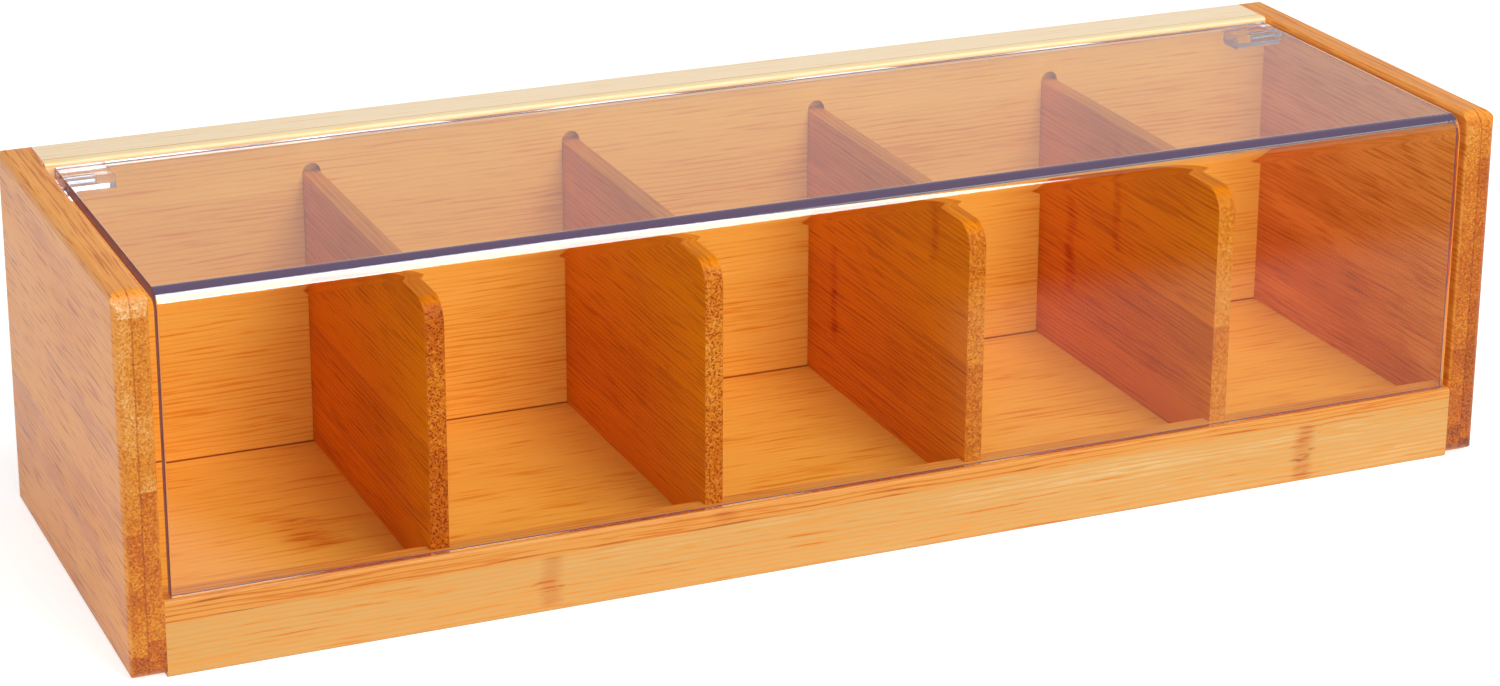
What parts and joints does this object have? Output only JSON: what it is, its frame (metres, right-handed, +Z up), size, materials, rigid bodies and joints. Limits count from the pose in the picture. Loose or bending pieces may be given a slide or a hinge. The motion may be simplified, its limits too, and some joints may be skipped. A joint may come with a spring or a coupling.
{
  "type": "tea bag organizer box",
  "caption": "Long low bamboo box with equal compartments for tea bags, under a clear L-shaped lid hinged at its back corners.",
  "frame": {"origin": "under the middle of the box, on the surface it stands on", "axes": "+X along the box's length, to the right seen from the front; the front faces -Y; +Z up"},
  "size_m": [0.358, 0.115, 0.093],
  "materials": {
    "bamboo": "satin clear lacquer over caramelised bamboo",
    "bamboo_inside": "satin clear lacquer over caramelised bamboo",
    "clear_acrylic": "polished clear acrylic",
    "clear_block": "clear moulded plastic",
    "steel": "drawn wire",
    "dowel_wood": "bare wood"
  },
  "bodies": {
    "box": {"left_side_panel": "bamboo", "right_side_panel": "bamboo", "back_panel": "bamboo", "front_rail": "bamboo", "floor_panel": "bamboo_inside", "divider_1": "bamboo_inside", "divider_2": "bamboo_inside", "divider_3": "bamboo_inside", "divider_4": "bamboo_inside", "back_panel_dowels": "dowel_wood", "front_rail_dowels": "dowel_wood"},
    "lid": {"lid_pane": "clear_acrylic", "left_hinge_block": "clear_block", "right_hinge_block": "clear_block", "left_hinge_pin": "steel", "right_hinge_pin": "steel"}
  },
  "joints": [
    {"name": "lid_hinge", "type": "hinge", "parent": "box", "child": "lid", "pos_m": [0, 0.03374, 0.0879], "axis": [-1, 0, 0], "range_deg": [0, 115]}
  ]
}
